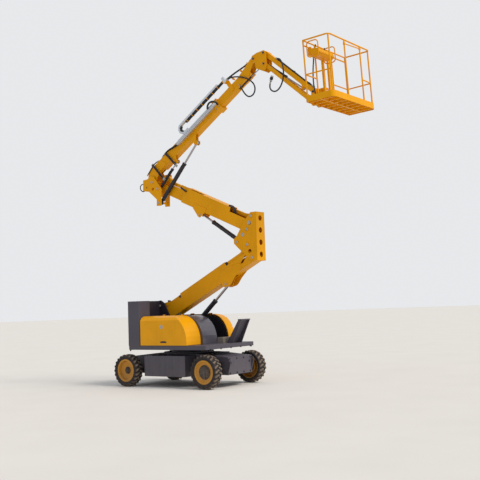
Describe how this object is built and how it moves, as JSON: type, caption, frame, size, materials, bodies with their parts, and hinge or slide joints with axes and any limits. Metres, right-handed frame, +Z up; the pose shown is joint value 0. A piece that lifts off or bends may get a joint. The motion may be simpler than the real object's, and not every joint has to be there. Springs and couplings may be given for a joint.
{
  "type": "articulated telescopic boom lift",
  "caption": "Electric articulated boom lift: two folding booms, a telescopic upper boom, a jib and a railed platform on a four-wheel chassis with a turntable.",
  "frame": {"origin": "on the ground under the slewing axis", "axes": "+X towards the platform end, +Y to the machine's left, +Z up"},
  "size_m": [5.825, 2.128, 7.2599],
  "materials": {
    "yellow_paint": "semi-gloss",
    "yellow_cover": "semi-gloss",
    "grey_cover": "semi-gloss",
    "grey_paint": "semi-gloss",
    "light_grey_paint": "semi-gloss",
    "black_paint": "semi-gloss",
    "wheel_paint": "semi-gloss",
    "chrome": "polished",
    "tyre": "matte",
    "hose_rubber": "satin",
    "tray_metal": "satin",
    "dark_plastic": "matte"
  },
  "bodies": {
    "chassis": {"chassis_frame": "grey_paint", "steer_axle": "black_paint", "drive_unit_right": "black_paint", "drive_unit_left": "black_paint"},
    "steer_right": {"steer_knuckle_right": "black_paint"},
    "steer_left": {"steer_knuckle_left": "black_paint"},
    "wheel_steer_right": {"rim_steer_right": "wheel_paint", "tyre_steer_right": "tyre"},
    "wheel_steer_left": {"rim_steer_left": "wheel_paint", "tyre_steer_left": "tyre"},
    "wheel_drive_right": {"rim_drive_right": "wheel_paint", "tyre_drive_right": "tyre"},
    "wheel_drive_left": {"rim_drive_left": "wheel_paint", "tyre_drive_left": "tyre"},
    "turntable": {"turntable_deck": "grey_paint", "counterweight": "grey_paint", "centre_cover": "grey_cover", "bay_wall": "black_paint", "bay_box": "light_grey_paint", "boom_tower": "grey_paint", "boom_rest": "grey_paint", "battery_block": "dark_plastic"},
    "hood_right": {"hood_right": "yellow_cover"},
    "hood_left": {"hood_left": "yellow_cover"},
    "lower_boom": {"lower_boom": "yellow_paint"},
    "lower_link": {"lower_link": "yellow_paint"},
    "mid_knuckle": {"mid_knuckle": "yellow_paint"},
    "middle_boom": {"middle_boom": "yellow_paint"},
    "middle_link": {"middle_link": "yellow_paint"},
    "upper_knuckle": {"upper_knuckle": "yellow_paint"},
    "main_boom": {"main_boom": "yellow_paint", "chain_tray": "tray_metal"},
    "drag_chain": {"drag_chain": "tray_metal"},
    "fly_boom": {"fly_boom": "yellow_paint", "hose_bundle": "hose_rubber"},
    "jib_yoke": {"jib_yoke": "yellow_paint"},
    "jib_upper_arm": {"jib_upper_arm": "yellow_paint"},
    "jib_lower_arm": {"jib_lower_arm": "yellow_paint"},
    "platform_mount": {"platform_mount": "yellow_paint"},
    "platform": {"platform_floor": "yellow_paint", "platform_bracket": "yellow_paint", "console_guards": "yellow_paint", "rails_back": "yellow_paint", "rails_right": "yellow_paint", "rails_left": "yellow_paint", "rails_front": "yellow_paint", "control_console": "yellow_paint"},
    "platform_gate": {"platform_gate": "yellow_paint"},
    "lower_lift_barrel": {"lower_lift_barrel": "black_paint"},
    "lower_lift_rod": {"lower_lift_rod": "chrome"},
    "middle_lift_barrel": {"middle_lift_barrel": "black_paint"},
    "middle_lift_rod": {"middle_lift_rod": "chrome"},
    "main_lift_barrel": {"main_lift_barrel": "black_paint"},
    "main_lift_rod": {"main_lift_rod": "chrome"},
    "master_barrel": {"master_barrel": "black_paint"},
    "master_rod": {"master_rod": "chrome"},
    "slave_barrel": {"slave_barrel": "black_paint"},
    "slave_rod": {"slave_rod": "chrome"},
    "jib_barrel": {"jib_barrel": "black_paint"},
    "jib_rod": {"jib_rod": "chrome"}
  },
  "joints": [
    {"name": "steer_right_turn", "type": "hinge", "parent": "chassis", "child": "steer_right", "pos_m": [-1.125, -0.6, 0.355], "axis": [0, 0, 1], "range_deg": [-32, 32]},
    {"name": "steer_left_turn", "type": "hinge", "parent": "chassis", "child": "steer_left", "pos_m": [-1.125, 0.6, 0.355], "axis": [0, 0, 1], "range_deg": [-32, 32]},
    {"name": "wheel_steer_right_spin", "type": "hinge", "parent": "steer_right", "child": "wheel_steer_right", "pos_m": [-1.125, -0.788, 0.355], "axis": [0, 1, 0], "continuous": true},
    {"name": "wheel_steer_left_spin", "type": "hinge", "parent": "steer_left", "child": "wheel_steer_left", "pos_m": [-1.125, 0.788, 0.355], "axis": [0, 1, 0], "continuous": true},
    {"name": "wheel_drive_right_spin", "type": "hinge", "parent": "chassis", "child": "wheel_drive_right", "pos_m": [1.125, -0.788, 0.355], "axis": [0, 1, 0], "continuous": true},
    {"name": "wheel_drive_left_spin", "type": "hinge", "parent": "chassis", "child": "wheel_drive_left", "pos_m": [1.125, 0.788, 0.355], "axis": [0, 1, 0], "continuous": true},
    {"name": "slew", "type": "hinge", "parent": "chassis", "child": "turntable", "pos_m": [0, 0, 0.812], "axis": [0, 0, 1], "range_deg": [-178, 178]},
    {"name": "hood_right_lid", "type": "hinge", "parent": "turntable", "child": "hood_right", "pos_m": [0, -0.369, 1.552], "axis": [-1, 0, 0], "range_deg": [0, 60]},
    {"name": "hood_left_lid", "type": "hinge", "parent": "turntable", "child": "hood_left", "pos_m": [0, 0.619, 1.552], "axis": [1, 0, 0], "range_deg": [0, 60]},
    {"name": "lower_lift", "type": "hinge", "parent": "turntable", "child": "lower_boom", "pos_m": [-0.9, 0.36, 1.477], "axis": [0, -1, 0], "range_deg": [-20.9, 34.1]},
    {"name": "lower_link_turn", "type": "hinge", "parent": "turntable", "child": "lower_link", "pos_m": [-1.015, 0.36, 1.762], "axis": [0, -1, 0], "range_deg": [-20.9, 34.1]},
    {"name": "mid_knuckle_level", "type": "hinge", "parent": "lower_boom", "child": "mid_knuckle", "pos_m": [1.7004, 0.36, 2.74025], "axis": [0, -1, 0], "range_deg": [-34.1, 20.9]},
    {"name": "middle_lift", "type": "hinge", "parent": "mid_knuckle", "child": "middle_boom", "pos_m": [1.5854, 0.36, 3.36025], "axis": [0, 1, 0], "range_deg": [-22.4, 35.6]},
    {"name": "middle_link_turn", "type": "hinge", "parent": "mid_knuckle", "child": "middle_link", "pos_m": [1.7004, 0.36, 3.64525], "axis": [0, 1, 0], "range_deg": [-22.4, 35.6]},
    {"name": "upper_knuckle_level", "type": "hinge", "parent": "middle_boom", "child": "upper_knuckle", "pos_m": [-1.00661, 0.36, 4.53549], "axis": [0, 1, 0], "range_deg": [-35.6, 22.4]},
    {"name": "main_lift", "type": "hinge", "parent": "upper_knuckle", "child": "main_boom", "pos_m": [-1.18461, 0.36, 4.70949], "axis": [0, -1, 0], "range_deg": [-23.5, 36.5]},
    {"name": "telescope", "type": "slide", "parent": "main_boom", "child": "fly_boom", "axis": [0.8339, 0, 0.5519], "range_m": [-0.3, 1.6]},
    {"name": "chain_travel", "type": "slide", "parent": "main_boom", "child": "drag_chain", "axis": [0.8339, 0, 0.5519], "range_m": [-0.15, 0.8]},
    {"name": "yoke_level", "type": "hinge", "parent": "fly_boom", "child": "jib_yoke", "pos_m": [1.89424, 0.36, 7.12388], "axis": [0, -1, 0], "range_deg": [-36.5, 23.5]},
    {"name": "jib_lift", "type": "hinge", "parent": "jib_yoke", "child": "jib_upper_arm", "pos_m": [2.17024, 0.36, 7.20589], "axis": [0, -1, 0], "range_deg": [-23.4, 96.6]},
    {"name": "jib_lower_turn", "type": "hinge", "parent": "jib_yoke", "child": "jib_lower_arm", "pos_m": [2.17024, 0.36, 6.96089], "axis": [0, -1, 0], "range_deg": [-23.4, 96.6]},
    {"name": "mount_level", "type": "hinge", "parent": "jib_upper_arm", "child": "platform_mount", "pos_m": [3.4041, 0.36, 6.11041], "axis": [0, -1, 0], "range_deg": [-96.6, 23.4]},
    {"name": "platform_turn", "type": "hinge", "parent": "platform_mount", "child": "platform", "pos_m": [3.5541, 0.36, 5.98791], "axis": [-0.0454, 0, 0.999], "range_deg": [-90, 90]},
    {"name": "gate_bar", "type": "slide", "parent": "platform", "child": "platform_gate", "axis": [-0.0454, 0, 0.999], "range_m": [-0.62, 0]},
    {"name": "lower_lift_barrel_turn", "type": "hinge", "parent": "turntable", "child": "lower_lift_barrel", "pos_m": [-0.45, 0.36, 0.99], "axis": [0, -1, 0], "range_deg": [-20.82, 33.66]},
    {"name": "lower_lift_rod_slide", "type": "slide", "parent": "lower_lift_barrel", "child": "lower_lift_rod", "axis": [0.7545, 0, 0.6563], "range_m": [-0.2371, 0.3842]},
    {"name": "middle_lift_barrel_turn", "type": "hinge", "parent": "mid_knuckle", "child": "middle_lift_barrel", "pos_m": [1.3024, 0.36, 3.10025], "axis": [0, 1, 0], "range_deg": [-23.65, 37.3]},
    {"name": "middle_lift_rod_slide", "type": "slide", "parent": "middle_lift_barrel", "child": "middle_lift_rod", "axis": [-0.8323, 0, 0.5543], "range_m": [-0.1454, 0.2287]},
    {"name": "main_lift_barrel_turn", "type": "hinge", "parent": "upper_knuckle", "child": "main_lift_barrel", "pos_m": [-0.98461, 0.298, 4.19549], "axis": [0, -1, 0], "range_deg": [-20.17, 31.05]},
    {"name": "main_lift_rod_slide", "type": "slide", "parent": "main_lift_barrel", "child": "main_lift_rod", "axis": [0.6669, 0, 0.7451], "range_m": [-0.192, 0.2959]},
    {"name": "master_barrel_turn", "type": "hinge", "parent": "upper_knuckle", "child": "master_barrel", "pos_m": [-1.00661, 0.298, 4.53549], "axis": [0, -1, 0], "range_deg": [-23.17, 35.71]},
    {"name": "master_rod_slide", "type": "slide", "parent": "master_barrel", "child": "master_rod", "axis": [0.6882, 0, 0.7255], "range_m": [-0.1015, 0.1554]},
    {"name": "slave_barrel_turn", "type": "hinge", "parent": "fly_boom", "child": "slave_barrel", "pos_m": [1.17037, 0.36, 6.46009], "axis": [0, -1, 0], "range_deg": [-1.17, 1.54]},
    {"name": "slave_rod_slide", "type": "slide", "parent": "slave_barrel", "child": "slave_rod", "axis": [0.8782, 0, 0.4783], "range_m": [-0.1461, 0.0955]},
    {"name": "jib_barrel_turn", "type": "hinge", "parent": "jib_yoke", "child": "jib_barrel", "pos_m": [2.17024, 0.36, 6.96089], "axis": [0, -1, 0], "range_deg": [-23.93, 97.21]},
    {"name": "jib_rod_slide", "type": "slide", "parent": "jib_barrel", "child": "jib_rod", "axis": [0.7959, 0, -0.6054], "range_m": [-0.0856, 0.3407]}
  ],
  "couplings": [
    {"joint": "steer_left_turn", "follows": "steer_right_turn", "ratio": 1},
    {"joint": "lower_link_turn", "follows": "lower_lift", "ratio": 1},
    {"joint": "mid_knuckle_level", "follows": "lower_lift", "ratio": -1},
    {"joint": "middle_link_turn", "follows": "middle_lift", "ratio": 1},
    {"joint": "upper_knuckle_level", "follows": "middle_lift", "ratio": -1},
    {"joint": "chain_travel", "follows": "telescope", "ratio": 0.5},
    {"joint": "yoke_level", "follows": "main_lift", "ratio": -1},
    {"joint": "jib_lower_turn", "follows": "jib_lift", "ratio": 1},
    {"joint": "mount_level", "follows": "jib_lift", "ratio": -1},
    {"joint": "lower_lift_barrel_turn", "follows": "lower_lift", "ratio": 0.97248},
    {"joint": "lower_lift_rod_slide", "follows": "lower_lift", "m_per_rad": 0.6389},
    {"joint": "middle_lift_barrel_turn", "follows": "middle_lift", "ratio": 1.0336},
    {"joint": "middle_lift_rod_slide", "follows": "middle_lift", "m_per_rad": 0.36172},
    {"joint": "main_lift_barrel_turn", "follows": "main_lift", "ratio": 0.83698},
    {"joint": "main_lift_rod_slide", "follows": "main_lift", "m_per_rad": 0.45828},
    {"joint": "master_barrel_turn", "follows": "main_lift", "ratio": 0.96474},
    {"joint": "master_rod_slide", "follows": "main_lift", "m_per_rad": 0.23773},
    {"joint": "slave_barrel_turn", "follows": "main_lift", "ratio": 0.028509},
    {"joint": "slave_rod_slide", "follows": "main_lift", "m_per_rad": -0.22304},
    {"joint": "jib_barrel_turn", "follows": "jib_lift", "ratio": 1.0011},
    {"joint": "jib_rod_slide", "follows": "jib_lift", "m_per_rad": 0.19973}
  ]
}
